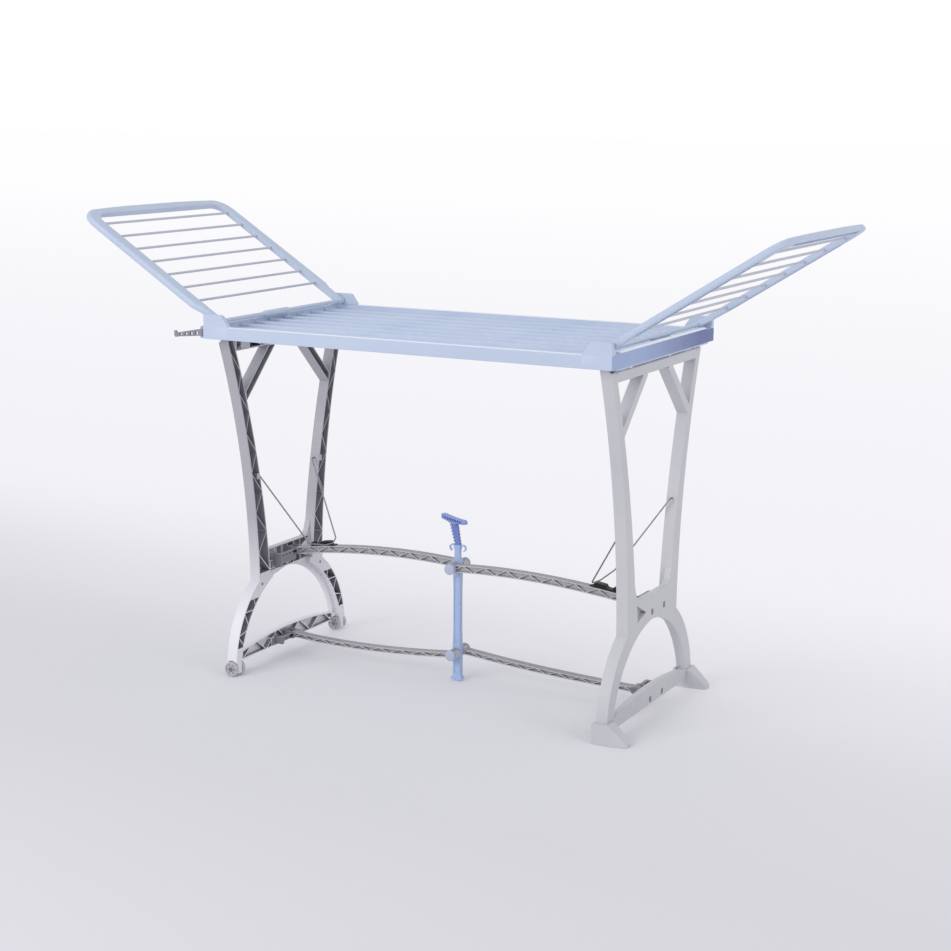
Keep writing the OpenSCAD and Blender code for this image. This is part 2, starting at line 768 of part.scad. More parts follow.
neck_lean = [-13, 3];
module grip() {
  neck_h = grip_top - 24 - post_top;
  n = 7;
  step = neck_h / n;
  l = grip_len / 2;
  // ribbed neck, leaning a little
  for (i = [0:n - 1]) translate([neck_lean[0] * i / n, neck_lean[1] * i / n, post_top + i * step]) {
    translate([-8 - 4 * i / n, -5.5, 0]) cube([16 + 6 * i / n, 11, step * 0.55]);
    translate([-7 - 4 * i / n, -4, 0]) cube([14 + 6 * i / n, 8, step + 0.5]);
  }
  // bar with upswept ends and finger ribs
  translate([neck_lean[0], neck_lean[1], grip_top]) rotate([0, 0, -28]) difference() {
    intersection() {
      slab_y(-11, 11) polygon([[-l, -6], [-l + 3, -1], [-l + 6, 0], [-24, -3], [0, -4],
        [24, -4], [l - 8, -2], [l - 3, -4], [l, -8], [l, -13], [l - 4, -17], [20, -21],
        [12, -26], [-12, -26], [-20, -22], [-l + 4, -19], [-l, -15]]);
      translate([0, 0, -30]) linear_extrude(32) polygon([[-l, -6], [-l + 4, -8], [-20, -10.5],
        [20, -10.5], [l - 4, -8], [l, -6], [l, 6], [l - 4, 8], [20, 10.5], [-20, 10.5],
        [-l + 4, 8], [-l, 6]]);
    }
    for (x = [-l + 9:8:l - 12]) for (s = [-1, 1])
      translate([x, s * 11 - 4, -16.5]) cube([4.5, 8, 10]);
  }
}

module post_hooks() {
  for (s = [-1, 1]) translate([s * (post_w / 2 - 3.6), 0, post_top - 8])
    rotate([90, 0, 0]) translate([0, 0, -3]) linear_extrude(6) intersection() {
      difference() {
        translate([s * 8, 0]) circle(r = 9.5);
        translate([s * 8, 0]) circle(r = 6.3);
      }
      polygon([[s * 1.6, 0], [s * 1.6, 12], [s * 20, 12], [s * 20, -12], [s * 11, -12],
        [s * 8, 0]]);
    }
}

module hub_pin(z) {
  rod_y(0, -hub_y - eye_half - 6, hub_y + eye_half + 6, z, hub_pin_r);
}

module caps() {
  for (z = [hub_low_z, hub_top_z]) for (s = [-1, 1]) {
    t = z == hub_top_z && s < 0 ? cap_t + 7 : cap_t + 2;
    translate([0, s * (hub_y + eye_half + gap), z]) rotate([-90 * s, 0, 0]) difference() {
      rotate_extrude() polygon([[0, 0], [8, 0], [8, 1.6], [cap_r, 1.6], [cap_r, t - 2],
        [cap_r - 1.2, t - 0.6], [cap_r - 4, t + 0.6], [cap_r - 9, t + 1.3], [0, t + 1.6]]);
      translate([0, 0, -1]) cylinder(h = 7, r = hub_pin_r + fit);
    }
  }
}

// tray ------------------------------------------------------------------

// cross section of a rail, its outer face at 0 and its inner face at rail_t
module rail_shape(lip) {
  polygon([[0, tray_bot], [rail_t, tray_bot], [rail_t, tray_top + lip - 1.5],
    [rail_t - 1.5, tray_top + lip], [3, tray_top + lip], [1, tray_top + lip - 1],
    [0, tray_top + lip - 3]]);
}

module long_rail() {
  translate([0, -half_wid, 0]) slab_x(-half_len + rail_t, half_len - rail_t) rail_shape(0);
}

module end_rail(with_arm) {
  difference() {
    union() {
      translate([half_len, 0, 0]) mirror([1, 0, 0]) slab_y(-half_wid, half_wid) rail_shape(0);
      translate([half_len, 0, 0]) mirror([1, 0, 0]) slab_y(-lip_half, lip_half)
        translate([0, 0]) rail_shape(lip_h);
    }
    // finger hollow in the inner face, below the wing's grip
    translate([half_len - rail_t - 1, -45, tray_top - 12]) cube([5, 90, 7]);
  }
  if (with_arm) for (z = [tray_bot + 1, tray_top - 8])
    translate([0, 0, z]) linear_extrude(hang_lug) difference() {
      union() {
        translate([-hang_x, -hang_y]) circle(r = hang_r);
        translate([half_len - 1, -hang_y - hang_r]) square([-hang_x - half_len + 1, 2 * hang_r]);
      }
      translate([-hang_x, -hang_y]) circle(r = hang_pin_r + fit);
    }
}

module slats() {
  for (i = [0:slat_count - 1])
    translate([0, (i - (slat_count - 1) / 2) * slat_pitch, 0])
      slab_x(-half_len + rail_t, half_len - rail_t)
        polygon([[-slat_w / 2, tray_top - 7 - slat_h], [slat_w / 2, tray_top - 7 - slat_h],
          [slat_w / 2, tray_top - 9], [slat_w / 2 - 2, tray_top - 7],
          [-slat_w / 2 + 2, tray_top - 7], [-slat_w / 2, tray_top - 9]]);
}

module cross_bars() {
  for (s = [-1, 1]) translate([s * cross_x - 9, -half_wid + rail_t, tray_bot])
    difference() {
      cube([18, tray_wid - 2 * rail_t, rail_h - 7 - slat_h]);
      translate([3, 4, -1]) cube([12, tray_wid - 2 * rail_t - 8, rail_h - slat_h - 10]);
    }
}

module corner_block() {
  difference() {
    translate([0, half_wid - block_t, 0]) slab_y(0, block_t)
      translate([half_len, tray_top]) polygon([[-block_len - block_slope, 0], [0, 0],
        [0, block_h - 4], [-1.2, block_h - 1.2], [-4, block_h], [-block_len + 8, block_h],
        [-block_len + 3, block_h - 1.5], [-block_len, block_h - 5]]);
    rod_y(hinge_x, half_wid - 40, half_wid + 10, hinge_z, wing_pin_r + fit);
  }
}

module corner_blocks() {
  both_y() {
    corner_block();
    mirror([1, 0, 0]) corner_block();
  }
}

module seats() {
  z0 = leg_top + seat_gap;
  z1 = tray_top - 7 - slat_h;
  for (s = [-1, 1]) translate([s > 0 ? half_len - rail_t - seat_w : -half_len + rail_t,
    -seat_half, z0]) difference() {
      cube([seat_w, 2 * seat_half, z1 - z0]);
      for (y = [20:65:2 * seat_half - 60]) translate([4, y, 4]) cube([seat_w - 8, 45, 30]);
    }
  for (s = [-1, 1]) translate([s > 0 ? half_len - rail_t : 2 - half_len, -apron_half, z0])
    cube([rail_t - 2, 2 * apron_half, tray_bot - z0]);
}

// lugs under the tray's left end that turn on the left leg frame
module hinge_lugs() {
  z1 = tray_top - 7 - slat_h;
  both_y() difference() {
    union() {
      rod_y(-lug_x, lug_y - lug_w / 2, lug_y + lug_w / 2, lug_z, lug_r);
      translate([-lug_x - 6, lug_y - lug_w / 2, lug_z]) cube([12, lug_w, z1 - lug_z]);
      translate([-half_len + rail_t, lug_y - 18, leg_top + seat_gap])
        cube([seat_w, 36, z1 - leg_top - seat_gap]);
    }
    rod_y(-lug_x, lug_y - 30, lug_y + 30, lug_z, lug_pin_r + fit);
  }
}

module hinge_pins() {
  both_y() rod_y(-lug_x, lug_y - lug_w / 2 - 4.5, lug_y + lug_w / 2 + 4.5, lug_z, lug_pin_r);
}

module all_wing_pins() {
  for (s = [-1, 1]) both_y()
    rod_y(s * hinge_x, wing_neck - 16, half_wid, hinge_z, wing_pin_r);
}

// wings, drawn level with the hinge line at the origin ------------------

module wing_outline() {
  r = wing_corner_r;
  w = wing_half;
  polygon([[0, -wing_neck], [neck_s, -wing_neck], [neck_s + 30, -w], [wing_len - r, -w],
    [wing_len - r, -w + r], [wing_len, -w + r], [wing_len + 3, -w + r + 70],
    [wing_len + 5, -w + r + 150], [wing_len + 5, w - r - 150], [wing_len + 3, w - r - 70],
    [wing_len, w - r], [wing_len - r, w - r],
    [wing_len - r, w], [neck_s + 30, w], [neck_s, wing_neck], [0, wing_neck]]);
  both_2d_x() translate([wing_len - r, w - r]) circle(r = r, $fn = 96);
}

module wing_hole() {
  r = wing_corner_r - end_bar_w + 4;
  l = wing_len - end_bar_w;
  polygon([[-1, -wing_in], [l - r, -wing_in], [l - r, -wing_in + r], [l, -wing_in + r],
    [l, wing_in - r], [l - r, wing_in - r], [l - r, wing_in], [-1, wing_in]]);
  both_2d_x() translate([l - r, wing_in - r]) circle(r = r, $fn = 96);
}

module both_2d_x() {
  children();
  mirror([0, 1]) children();
}

module wing_place() {
  translate([hinge_x, 0, hinge_z]) rotate([0, -wing_tilt, 0]) children();
}

module wing_frame() {
  h = wing_rail_h / 2;
  difference() {
    union() {
      translate([0, 0, -h]) linear_extrude(wing_rail_h) difference() {
        wing_outline();
        wing_hole();
      }
      both_y() rod_y(0, wing_in, wing_neck, 0, h);
    }
    // grooves under the side rails and the outer bar
    both_y() translate([neck_s + 40, wing_in + 7, -h - 1])
      cube([wing_len - neck_s - 120, wing_rail_w - 14, 8]);
    translate([wing_len - end_bar_w + 6, -wing_in + 40, -h - 1])
      cube([end_bar_w - 12, 2 * wing_in - 80, 8]);
    both_y() rod_y(0, wing_in + 5, wing_half + 1, 0, wing_pin_r + fit);
    both_y() for (i = [0:rod_count - 1])
      rod_y(rod_first + i * rod_pitch, wing_in - 1, wing_in + tenon_len + 0.5, 1,
        tenon_r + 0.3);
    both_y() rod_y(0, wing_in - 1, wing_in + 4.4, 0, 3.3);
  }
}

module wing_rods() {
  for (i = [0:rod_count - 1]) translate([rod_first + i * rod_pitch, 0, 1]) {
    slab_y(0.2 - wing_in, wing_in - 0.2) polygon([[-rod_w / 2, -rod_h / 2], [rod_w / 2, -rod_h / 2],
      [rod_w / 2, rod_h / 2 - 1.5], [rod_w / 2 - 1.5, rod_h / 2],
      [-rod_w / 2 + 1.5, rod_h / 2], [-rod_w / 2, rod_h / 2 - 1.5]]);
    both_y() rod_y(0, wing_in - 1, wing_in + tenon_len, 0, tenon_r);
  }
}

// bar along the hinge line, with a thicker grip
module wing_bar() {
  rod_y(0, -wing_in, wing_in, 0, 5);
  both_y() rod_y(0, wing_in - 1, wing_in + 4, 0, 3);
  translate([0, 30, 0]) rotate([-90, 0, 0]) rotate_extrude()
    polygon([[0, -62], [4.9, -62], [8, -52], [8, 52], [4.9, 62], [0, 62]]);
}

// coat hanger arm at the tray's front left corner
module hang_arm() {
  z0 = tray_bot + 1 + hang_lug + gap;
  z1 = tray_top - 8 - gap;
  difference() {
    union() {
      translate([hang_x, hang_y, z0]) cylinder(h = z1 - z0, r = hang_r);
      slab_y(hang_y - 3, hang_y + 3) polygon([[hang_x, z0], [hang_x - hang_r - 2, z0],
        [hang_x - hanger_len + 14, z0 - 6],
        [hang_x - hanger_len + 4, z0 - 8], [hang_x - hanger_len, z0 - 4],
        [hang_x - hanger_len, z0 + 9], [hang_x - hanger_len + 5, z0 + 9],
        [hang_x - hanger_len + 8, z0 + 4], [hang_x, z1]]);
    }
    translate([hang_x, hang_y, z0 - 1]) cylinder(h = 40, r = hang_pin_r + fit);
    for (i = [0:3]) translate([hang_x - 22 - i * 17, hang_y - 10, z0 + 2 - i * 1.2])
      cube([8, 20, 8 - i]);
  }
}

module hang_pin() {
  translate([hang_x, hang_y, tray_bot + 1]) cylinder(h = tray_top - tray_bot - 5, r = hang_pin_r);
  translate([hang_x, hang_y, tray_top - 4]) cylinder(h = 1.4, r = 4);
}

module left_upper_frame() { color(grey) turned() upper_frame(true); }
module right_upper_frame() { color(grey) upper_frame(false); }
module left_lower_frame() { color(grey) turned() lower_frame(true); }
module right_lower_frame() { color(grey) lower_frame(false); }
module left_frame_screws() { color(steel) turned() frame_screws(); }
module right_frame_screws() { color(steel) frame_screws(); }
module right_front_foot() { color(grey) mirror([0, 1, 0]) shoe(); }
module right_rear_foot() { color(grey) shoe(); }
module front_axle() { color(steel) turned() axle(); }
module rear_axle() { color(steel) turned() mirror([0, 1, 0]) axle(); }
module front_wheels() { color(clear) turned() twin_wheels(); }
module rear_wheels() { color(clear) turned() mirror([0, 1, 0]) twin_wheels(); }
module left_upper_bracket() {
  color(dark_grey) turned() bracket(top_pin_z, web_win_z, -top_eye_y);
}
module left_lower_bracket() {
  color(dark_grey) turned() bracket(low_pin_z, left_win_z, -low_eye_y);
}
module right_upper_bracket() { color(dark_grey) bracket(top_pin_z, web_win_z, -top_eye_y); }
module right_lower_bracket() { color(dark_grey) bracket(low_pin_z, right_win_z, -low_eye_y); }
module left_bracket_pins() {
  color(steel) turned() {
    bracket_pin(top_pin_z, -top_eye_y);
    bracket_pin(low_pin_z, -low_eye_y);
  }
}
module right_bracket_pins() {
  color(steel) {
    bracket_pin(top_pin_z, -top_eye_y);
    bracket_pin(low_pin_z, -low_eye_y);
  }
}
module upper_left_arm() { color(grey) top_arm(); }
module lower_left_arm() { color(grey) low_arm(); }
module upper_right_arm() { color(grey) turned() top_arm(); }
module lower_right_arm() { color(grey) turned() low_arm(); }
module left_clip() { color(black) clip(); }
module right_clip() { color(black) turned() clip(); }
module handle_post() { color(blue) middle_post(); }
module handle_grip() { color(deep_blue) grip(); }
module handle_hooks() { color(blue) post_hooks(); }
module upper_hub_pin() { color(steel) hub_pin(hub_top_z); }
module lower_hub_pin() { color(steel) hub_pin(hub_low_z); }
module hub_caps() { color(blue) caps(); }
module left_wire_stay() { color(steel) turned() stay(); }
module right_wire_stay() { color(steel) stay(); }
module tray_front_rail() { color(blue) long_rail(); }
module tray_rear_rail() { color(blue) turned() long_rail(); }
module tray_left_rail() { color(blue) turned() end_rail(true); }
module tray_right_rail() { color(blue) end_rail(false); }
module tray_slats() { color(blue) slats(); }
module tray_cross_bars() { color(blue) cross_bars(); }
module tray_corner_blocks() { color(blue) corner_blocks(); }
module tray_seats() { color(blue) seats(); }
module tray_hinge_lugs() { color(blue) hinge_lugs(); }
module tray_hinge_pins() { color(steel) hinge_pins(); }
module wing_pins() { color(blue) all_wing_pins(); }
module left_wing_frame() { color(blue) turned() wing_place() wing_frame(); }
module left_wing_rods() { color(blue) turned() wing_place() wing_rods(); }
module left_wing_bar() { color(blue) turned() wing_place() wing_bar(); }
module right_wing_frame() { color(blue) wing_place() wing_frame(); }
module right_wing_rods() { color(blue) wing_place() wing_rods(); }
module right_wing_bar() { color(blue) wing_place() wing_bar(); }
module hanger_arm() { color(clear) hang_arm(); }
module hanger_pin() { color(steel) hang_pin(); }

left_upper_frame();
left_lower_frame();
right_upper_frame();
right_lower_frame();
left_frame_screws();
right_frame_screws();
right_front_foot();
right_rear_foot();
front_axle();
rear_axle();
front_wheels();
rear_wheels();
left_upper_bracket();
left_lower_bracket();
right_upper_bracket();
right_lower_bracket();
left_bracket_pins();
right_bracket_pins();
upper_left_arm();
lower_left_arm();
upper_right_arm();
lower_right_arm();
left_clip();
right_clip();
handle_post();
handle_grip();
handle_hooks();
upper_hub_pin();
lower_hub_pin();
hub_caps();
left_wire_stay();
right_wire_stay();
tray_front_rail();
tray_rear_rail();
tray_left_rail();
tray_right_rail();
tray_slats();
tray_cross_bars();
tray_corner_blocks();
tray_seats();
tray_hinge_lugs();
tray_hinge_pins();
wing_pins();
left_wing_frame();
left_wing_rods();
left_wing_bar();
right_wing_frame();
right_wing_rods();
right_wing_bar();
hanger_arm();
hanger_pin();
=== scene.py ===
"""Clothes drying rack: moulded plastics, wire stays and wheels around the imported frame."""

import json
from math import cos, radians, sin

import bpy
from mathutils import Matrix, Vector
from mathutils.bvhtree import BVHTree

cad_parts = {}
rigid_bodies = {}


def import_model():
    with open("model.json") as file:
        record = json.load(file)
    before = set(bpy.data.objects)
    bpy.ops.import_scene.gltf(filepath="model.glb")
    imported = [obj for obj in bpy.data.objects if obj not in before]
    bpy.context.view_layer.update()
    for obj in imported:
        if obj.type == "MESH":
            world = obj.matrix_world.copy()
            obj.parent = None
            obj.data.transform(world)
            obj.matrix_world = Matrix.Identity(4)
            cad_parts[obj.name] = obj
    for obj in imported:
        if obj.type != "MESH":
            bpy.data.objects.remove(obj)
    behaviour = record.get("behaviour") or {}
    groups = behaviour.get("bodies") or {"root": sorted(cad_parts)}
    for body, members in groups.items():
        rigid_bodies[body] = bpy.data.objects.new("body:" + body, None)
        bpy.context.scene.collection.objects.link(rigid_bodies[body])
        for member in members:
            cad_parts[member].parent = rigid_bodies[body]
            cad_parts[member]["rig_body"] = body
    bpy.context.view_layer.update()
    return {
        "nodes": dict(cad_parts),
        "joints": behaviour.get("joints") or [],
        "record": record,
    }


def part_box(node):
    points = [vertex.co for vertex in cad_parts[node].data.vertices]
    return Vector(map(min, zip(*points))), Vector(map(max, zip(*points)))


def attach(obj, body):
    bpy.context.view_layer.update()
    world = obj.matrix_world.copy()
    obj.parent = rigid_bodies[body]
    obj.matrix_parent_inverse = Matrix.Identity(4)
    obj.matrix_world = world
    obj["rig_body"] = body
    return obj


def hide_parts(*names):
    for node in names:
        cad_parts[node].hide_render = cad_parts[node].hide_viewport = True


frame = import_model()
NODES = frame["nodes"]

# ---------------------------------------------------------------- camera

# place and lengths in metres, turn, dip and roll in degrees, lens and sensor in millimetres
CAMERA_PLACE = (2.2951, -4.1492, 1.5297)
CAMERA_TURN = 28.515
CAMERA_DIP = 11.212
CAMERA_ROLL = 0.25
CAMERA_LENS = 69.93
CAMERA_SHIFT = (0.0037, -0.0122)
SENSOR_WIDTH = 36.0
FARTHEST_SEEN = 200.0

lens = bpy.data.cameras.new("camera")
lens.sensor_width = SENSOR_WIDTH
lens.lens = CAMERA_LENS
lens.shift_x, lens.shift_y = CAMERA_SHIFT
lens.clip_end = FARTHEST_SEEN
camera = bpy.data.objects.new("camera", lens)
bpy.context.scene.collection.objects.link(camera)
camera.matrix_world = (
    Matrix.Translation(CAMERA_PLACE)
    @ Matrix.Rotation(radians(CAMERA_TURN), 4, "Z")
    @ Matrix.Rotation(radians(90.0 - CAMERA_DIP), 4, "X")
    @ Matrix.Rotation(radians(CAMERA_ROLL), 4, "Z")
)
bpy.context.scene.camera = camera
bpy.context.scene.view_settings.view_transform = "Standard"


# ---------------------------------------------------------------- shader nodes

def linear(r, g, b):
    """A colour written as 0-255 display values, as the shader wants it."""
    out = []
    for v in (r, g, b):
        v /= 255.0
        out.append(v / 12.92 if v <= 0.04045 else ((v + 0.055) / 1.055) ** 2.4)
    return (*out, 1.0)


def new_material(name):
    """An empty material with its output node."""
    mat = bpy.data.materials.new(name)
    mat.use_nodes = True
    tree = mat.node_tree
    tree.nodes.clear()
    out = tree.nodes.new("ShaderNodeOutputMaterial")
    return mat, tree, out


def node(tree, kind, **values):
    """A shader node. A value is one of its settings, or else the constant on its socket."""
    n = tree.nodes.new(kind)
    for key, value in values.items():
        if hasattr(n, key):
            setattr(n, key, value)
        else:
            n.inputs[key.replace("_", " ")].default_value = value
    return n


def noise(tree, coord, scale, detail, rough):
    """A cloudy pattern. A larger scale makes it finer."""
    n = node(tree, "ShaderNodeTexNoise", Scale=scale, Detail=detail, Roughness=rough)
    tree.links.new(coord, n.inputs["Vector"])
    return n.outputs["Fac"]


def spread(tree, fac, low, high, at=(0.3, 0.7)):
    """Stretches what lies between the two values of at over low to high."""
    n = node(tree, "ShaderNodeMapRange")
    n.inputs["From Min"].default_value, n.inputs["From Max"].default_value = at
    n.inputs["To Min"].default_value, n.inputs["To Max"].default_value = low, high
    tree.links.new(fac, n.inputs["Value"])
    return n.outputs["Result"]


def blend(tree, fac, a, b):
    """A colour that goes from a to b. a is a colour, or a socket that gives one."""
    n = node(tree, "ShaderNodeMix", data_type="RGBA")
    tree.links.new(fac, n.inputs["Factor"])
    if isinstance(a, tuple):
        n.inputs["A"].default_value = a
    else:
        tree.links.new(a, n.inputs["A"])
    n.inputs["B"].default_value = b
    return n.outputs["Result"]


def along(tree, coord, axis, ends):
    """0 to 1 as the place goes from one end to the other along an axis."""
    parts = node(tree, "ShaderNodeSeparateXYZ")
    tree.links.new(coord, parts.inputs["Vector"])
    return spread(tree, parts.outputs[axis], 0.0, 1.0, at=ends)


def start_shader(name, **values):
    """A material with one principled shader, and the object's own coordinates for it."""
    mat, tree, out = new_material(name)
    coord = node(tree, "ShaderNodeTexCoord").outputs["Object"]
    bsdf = node(tree, "ShaderNodeBsdfPrincipled", **values)
    tree.links.new(bsdf.outputs["BSDF"], out.inputs["Surface"])
    return mat, tree, coord, bsdf


def bump_from(tree, bsdf, height, strength, distance):
    """Fine relief on a shader. distance is the height of the relief, in metres."""
    bump = node(tree, "ShaderNodeBump", Strength=strength, Distance=distance)
    tree.links.new(height, bump.inputs["Height"])
    tree.links.new(bump.outputs["Normal"], bsdf.inputs["Normal"])


# ---------------------------------------------------------------- materials

def moulded(name, light, dark, grain=0.12, spec=0.45, fade=None):
    """Injection-moulded plastic: slow colour drift, flow marks, fine spark-eroded grain.

    fade is (axis, ends, colour): the plastic turns to that colour between the two ends. Each fade
    in this script is painted light or shade.
    """
    mat, tree, coord, bsdf = start_shader(name, Specular_IOR_Level=spec)
    drift = noise(tree, coord, scale=5.0, detail=4.0, rough=0.55)
    colour = blend(tree, spread(tree, drift, 0.0, 1.0), light, dark)
    if fade:
        axis, ends, far_colour = fade
        colour = blend(tree, along(tree, coord, axis, ends), colour, far_colour)
    tree.links.new(colour, bsdf.inputs["Base Color"])
    flow = noise(tree, coord, scale=38.0, detail=5.0, rough=0.65)
    tree.links.new(spread(tree, flow, 0.42, 0.55), bsdf.inputs["Roughness"])
    fine = noise(tree, coord, scale=1500.0, detail=2.0, rough=0.6)
    bump_from(tree, bsdf, fine, strength=grain, distance=0.0004)
    return mat


def wire_steel(name, light, dark):
    """Drawn wire: fine lighter and darker marks, duller here and there."""
    mat, tree, coord, bsdf = start_shader(name, Metallic=0.9)
    marks = noise(tree, coord, scale=220.0, detail=4.0, rough=0.7)
    tree.links.new(blend(tree, spread(tree, marks, 0.0, 1.0), light, dark),
                   bsdf.inputs["Base Color"])
    tree.links.new(spread(tree, marks, 0.3, 0.45), bsdf.inputs["Roughness"])
    bump_from(tree, bsdf, marks, strength=0.15, distance=0.0003)
    return mat


def cloudy(name, light, dark, transmission):
    """Translucent plastic of the wheels and the hanger arm."""
    mat, tree, coord, bsdf = start_shader(name, Transmission_Weight=transmission, IOR=1.46)
    cloud = noise(tree, coord, scale=60.0, detail=4.0, rough=0.6)
    tree.links.new(blend(tree, spread(tree, cloud, 0.0, 1.0), light, dark),
                   bsdf.inputs["Base Color"])
    tree.links.new(spread(tree, cloud, 0.22, 0.36), bsdf.inputs["Roughness"])
    bump_from(tree, bsdf, cloud, strength=0.1, distance=0.0003)
    return mat


TRAY_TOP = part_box("tray_front_rail")[1][2]
TRAY_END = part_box("tray_right_rail")[1][0]
TRAY_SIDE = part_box("tray_rear_rail")[1][1]

# where a colour starts to turn and where it has turned, each of them painted light or shade: a
# painted highlight up the tray's rim, painted shade to the rear along the tray's ends and down
# the grip, and painted shade above with painted light below down the wheeled leg
RIM_HIGHLIGHT_FADE = (TRAY_TOP - 0.0018, TRAY_TOP - 0.0002)
END_SHADE_FADE = (-0.14, 0.22)
GRIP_SHADE_FADE = (0.43, 0.424)
LEG_SHADE_TO_LIGHT_FADE = (0.42, 0.16)

TRAY_BLUE = moulded("tray_blue", linear(193, 205, 226), linear(186, 199, 222))
# the rim's paler top edge is a painted highlight
RIM_BLUE_PAINTED_HIGHLIGHT = moulded("rim_blue_painted_highlight", linear(193, 205, 226), linear(186, 199, 222),
                   fade=("Z", RIM_HIGHLIGHT_FADE, linear(238, 241, 250)))
# the ends' deeper blue, darker to the rear, is painted shade
END_FACE_PAINTED_SHADE = moulded("end_face_painted_shade", linear(160, 178, 216), linear(152, 171, 211),
                   fade=("Y", END_SHADE_FADE, linear(106, 116, 164)))
POST_BLUE = moulded("post_blue", linear(174, 194, 230), linear(165, 186, 224))
# the grip's darker lower part is painted shade
GRIP_BLUE_PAINTED_SHADE = moulded("grip_blue_painted_shade", linear(142, 160, 220), linear(132, 151, 213),
                    fade=("Z", GRIP_SHADE_FADE, linear(118, 136, 198)))
# painted shade for the grip's pockets
GRIP_POCKET_PAINTED_SHADE = moulded("grip_pocket_painted_shade", linear(56, 76, 156), linear(45, 65, 145))
LEG_GREY = moulded("leg_grey", linear(204, 204, 208), linear(196, 196, 201))
# the wheeled leg is greyer above, painted shade, and paler below, painted light
WHEELED_LEG_SHADE_AND_LIGHT = moulded("wheeled_leg_painted_shade_and_light", linear(182, 181, 188), linear(170, 169, 177),
                       fade=("Z", LEG_SHADE_TO_LIGHT_FADE, linear(232, 231, 237)))
# painted shade for the legs' pockets
LEG_POCKET_PAINTED_SHADE = moulded("leg_pocket_painted_shade", linear(154, 153, 161), linear(136, 135, 144), grain=0.3)
ARM_GREY = moulded("stretcher_grey", linear(192, 190, 195), linear(182, 180, 186))
# painted shade for the stretchers' upper faces
STRETCHER_TOP_PAINTED_SHADE = moulded("stretcher_top_painted_shade", linear(156, 154, 160), linear(144, 142, 148))
# painted shade for the stretchers' pockets
STRETCHER_POCKET_PAINTED_SHADE = moulded("stretcher_pocket_painted_shade", linear(170, 168, 174), linear(158, 156, 162))
JOINT_GREY = moulded("bracket_grey", linear(140, 139, 146), linear(130, 129, 136))
CLIP_BLACK = moulded("clip_black", linear(26, 26, 29), linear(19, 19, 22), grain=0.2, spec=0.25)
CAP_BLUE = moulded("cap_blue", linear(182, 190, 212), linear(172, 181, 205))
ROD_BLUE = moulded("rod_blue", linear(200, 203, 215), linear(192, 195, 208))
STEEL = wire_steel("drawn_steel", linear(150, 150, 156), linear(118, 118, 124))
WHEEL_CLEAR = cloudy("cloudy_wheel", linear(208, 207, 212), linear(196, 195, 201), 0.2)
HANGER_CLEAR = cloudy("cloudy_hanger", linear(166, 165, 176), linear(150, 149, 161), 0.3)

SLOT_MATERIAL = {
    "leg_plastic": LEG_GREY,
    "stretcher_plastic": ARM_GREY,
    "tray_plastic": TRAY_BLUE,
    "post_plastic": POST_BLUE,
    "grip_plastic": GRIP_BLUE_PAINTED_SHADE,
    "clip_plastic": CLIP_BLACK,
    "wheel_plastic": WHEEL_CLEAR,
    "hanger_plastic": HANGER_CLEAR,
    "steel": STEEL,
}
# the nodes whose finish differs from that of their slot
NODE_MATERIAL = {
    # the wheeled leg frames carry painted shade above and painted light below
    "left_upper_frame": WHEELED_LEG_SHADE_AND_LIGHT,
    "left_lower_frame": WHEELED_LEG_SHADE_AND_LIGHT,
    "left_upper_bracket": JOINT_GREY,
    "left_lower_bracket": JOINT_GREY,
    "right_upper_bracket": JOINT_GREY,
    "right_lower_bracket": JOINT_GREY,
    "hub_caps": CAP_BLUE,
    "left_wing_rods": ROD_BLUE,
    "right_wing_rods": ROD_BLUE,
}
NODE_SLOT = {s["node"]: s["material_slot"] for s in frame["record"]["subparts"]}


def dress(obj, mat):
    """One material over the whole of a piece."""
    obj.data.materials.clear()
    obj.data.materials.append(mat)


for name, obj in NODES.items():
    dress(obj, NODE_MATERIAL.get(name, SLOT_MATERIAL[NODE_SLOT[name]]))


# ---------------------------------------------------------------- modelling helpers

# distances in metres: corners that are one, an edge too short to round, a place on a plane
MERGE_WITHIN = 0.00002
SHORTEST_EDGE = 0.0012
NEAR = 0.0005
# angles in degrees: faces that are one flat, an edge to round over, faces that shade smoothly
FLAT_WITHIN = 1.0
HARD_EDGE = 30.0
SMOOTH_MOULDING = 42.0
SMOOTH_WIRE = 50.0


def only(obj):
    """Selects one object and makes it active."""
    bpy.ops.object.select_all(action="DESELECT")
    obj.select_set(True)
    bpy.context.view_layer.objects.active = obj


def finish_piece(obj, name, body, mat, slot, *stands_for, angle):
    """Place goes into the mesh, then the piece is dressed and hung on its body."""
    only(obj)
    bpy.ops.object.transform_apply(location=True, rotation=True, scale=True)
    bpy.ops.object.shade_smooth_by_angle(angle=radians(angle))
    obj.name = name
    obj.data.name = name
    dress(obj, mat)
    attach(obj, body)
    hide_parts(*stands_for)


def apply_modifier(obj, kind, **values):
    """Adds a modifier and puts its result into the mesh."""
    only(obj)
    mod = obj.modifiers.new(kind.lower(), kind)
    for key, value in values.items():
        setattr(mod, key, value)
    bpy.ops.object.modifier_apply(modifier=mod.name)


def frame_copy(source):
    """A loose copy of a frame node, its doubles merged and its flats joined."""
    cad = NODES[source]
    obj = cad.copy()
    obj.data = cad.data.copy()
    obj.parent = None
    for key in list(obj.keys()):
        if key.startswith("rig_"):
            del obj[key]
    bpy.context.scene.collection.objects.link(obj)
    only(obj)
    bpy.ops.object.mode_set(mode="EDIT")
    bpy.ops.mesh.select_all(action="SELECT")
    bpy.ops.mesh.remove_doubles(threshold=MERGE_WITHIN)
    bpy.ops.mesh.dissolve_limited(angle_limit=radians(FLAT_WITHIN))
    bpy.ops.object.mode_set(mode="OBJECT")
    return obj


def pick_hard_edges():
    """In edit mode, selects the hard edges and nothing else."""
    bpy.ops.mesh.select_all(action="DESELECT")
    bpy.ops.mesh.edges_select_sharp(sharpness=radians(HARD_EDGE))


